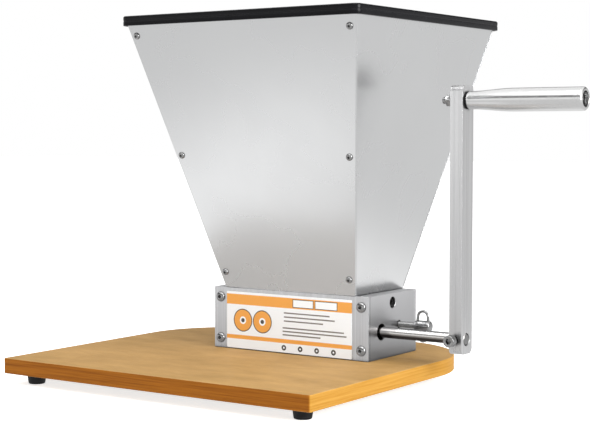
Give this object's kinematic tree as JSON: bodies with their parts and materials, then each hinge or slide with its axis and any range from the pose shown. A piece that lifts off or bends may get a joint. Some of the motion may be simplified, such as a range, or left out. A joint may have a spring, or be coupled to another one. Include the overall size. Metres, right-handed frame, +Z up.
{
  "type": "grain mill",
  "caption": "Hand-cranked roller grain mill: sheet-steel hopper with black rim over an aluminium mill body on a wooden base board, crank with turning grip.",
  "frame": {"origin": "bottom centre of the bounding box, on the floor plane under the feet", "axes": "+X towards the crank and its grip, +Y to the back of the mill, +Z up"},
  "size_m": [0.4806, 0.336, 0.334],
  "materials": {
    "board": "satin varnish",
    "rubber": "matt",
    "trim": "glossy",
    "body_aluminium": "brushed",
    "arm_aluminium": "brushed",
    "grip_steel": "polished",
    "hopper_steel": "fine brushed",
    "roller_steel": "knurled",
    "screw_steel": "bright plated",
    "black_steel": "black oxide",
    "bronze": "turned",
    "label": "printed, blank of words"
  },
  "bodies": {
    "mill": {"base_board": "board", "foot_front_left": "rubber", "foot_screw_front_left": "screw_steel", "base_bolt_front_left": "screw_steel", "foot_back_left": "rubber", "foot_screw_back_left": "screw_steel", "base_bolt_back_left": "screw_steel", "foot_front_right": "rubber", "foot_screw_front_right": "screw_steel", "base_bolt_front_right": "screw_steel", "foot_back_right": "rubber", "foot_screw_back_right": "screw_steel", "base_bolt_back_right": "screw_steel", "side_plate_left": "body_aluminium", "side_plate_right": "body_aluminium", "cover_plate_front": "body_aluminium", "cover_screw_front_lower_left": "screw_steel", "cover_screw_front_upper_left": "screw_steel", "cover_screw_front_lower_right": "screw_steel", "cover_screw_front_upper_right": "screw_steel", "cover_plate_back": "body_aluminium", "cover_screw_back_lower_left": "screw_steel", "cover_screw_back_upper_left": "screw_steel", "cover_screw_back_lower_right": "screw_steel", "cover_screw_back_upper_right": "screw_steel", "label_plate": "label", "shaft_bush_left": "bronze", "hopper_lock_screw_left": "black_steel", "shaft_bush_right": "bronze", "hopper_lock_screw_right": "black_steel", "hopper_panel_front": "hopper_steel", "hopper_panel_back": "hopper_steel", "hopper_panel_right": "hopper_steel", "hopper_panel_left": "hopper_steel", "rim_trim": "trim", "hopper_screw_front_lower_left": "screw_steel", "hopper_screw_front_lower_right": "screw_steel", "hopper_screw_front_middle_left": "screw_steel", "hopper_screw_front_middle_right": "screw_steel", "hopper_screw_front_upper_left": "screw_steel", "hopper_screw_front_upper_right": "screw_steel", "hopper_screw_back_lower_left": "screw_steel", "hopper_screw_back_lower_right": "screw_steel", "hopper_screw_back_middle_left": "screw_steel", "hopper_screw_back_middle_right": "screw_steel", "hopper_screw_back_upper_left": "screw_steel", "hopper_screw_back_upper_right": "screw_steel"},
    "crank": {"drive_roller": "roller_steel", "crank_arm": "arm_aluminium", "crank_clamp_screw": "screw_steel", "grip_bolt": "screw_steel", "grip_spacer": "rubber", "grip_washer": "screw_steel", "grip_nut": "screw_steel"},
    "grip": {"crank_grip": "grip_steel"},
    "adjuster_right": {"gap_adjuster_right": "body_aluminium"},
    "adjuster_left": {"gap_adjuster_left": "body_aluminium"},
    "idler": {"idler_roller": "roller_steel"},
    "wing_bolt_right": {"wing_bolt_right": "screw_steel"},
    "wing_bolt_left": {"wing_bolt_left": "screw_steel"}
  },
  "joints": [
    {"name": "crank_spin", "type": "hinge", "parent": "mill", "child": "crank", "pos_m": [0.04575, 0.0204, 0.0486], "axis": [1, 0, 0], "continuous": true},
    {"name": "grip_spin", "type": "hinge", "parent": "crank", "child": "grip", "pos_m": [0.18475, 0.0204, 0.2558], "axis": [1, 0, 0], "continuous": true},
    {"name": "gap_adjust_right", "type": "hinge", "parent": "mill", "child": "adjuster_right", "pos_m": [0.03475, 0.0596, 0.0494], "axis": [1, 0, 0], "range_deg": [-60, 60]},
    {"name": "gap_adjust_left", "type": "hinge", "parent": "mill", "child": "adjuster_left", "pos_m": [-0.11525, 0.0596, 0.0494], "axis": [1, 0, 0], "range_deg": [-60, 60]},
    {"name": "idler_spin", "type": "hinge", "parent": "adjuster_right", "child": "idler", "pos_m": [-0.04025, 0.0596, 0.0486], "axis": [1, 0, 0], "continuous": true},
    {"name": "wing_bolt_right_turn", "type": "hinge", "parent": "mill", "child": "wing_bolt_right", "pos_m": [0.05475, 0.05152, 0.05234], "axis": [1, 0, 0], "range_deg": [0, 360]},
    {"name": "wing_bolt_left_turn", "type": "hinge", "parent": "mill", "child": "wing_bolt_left", "pos_m": [-0.13525, 0.05152, 0.05234], "axis": [-1, 0, 0], "range_deg": [0, 360]}
  ],
  "couplings": [
    {"joint": "idler_spin", "follows": "crank_spin", "ratio": -1},
    {"joint": "gap_adjust_left", "follows": "gap_adjust_right", "ratio": 1}
  ]
}
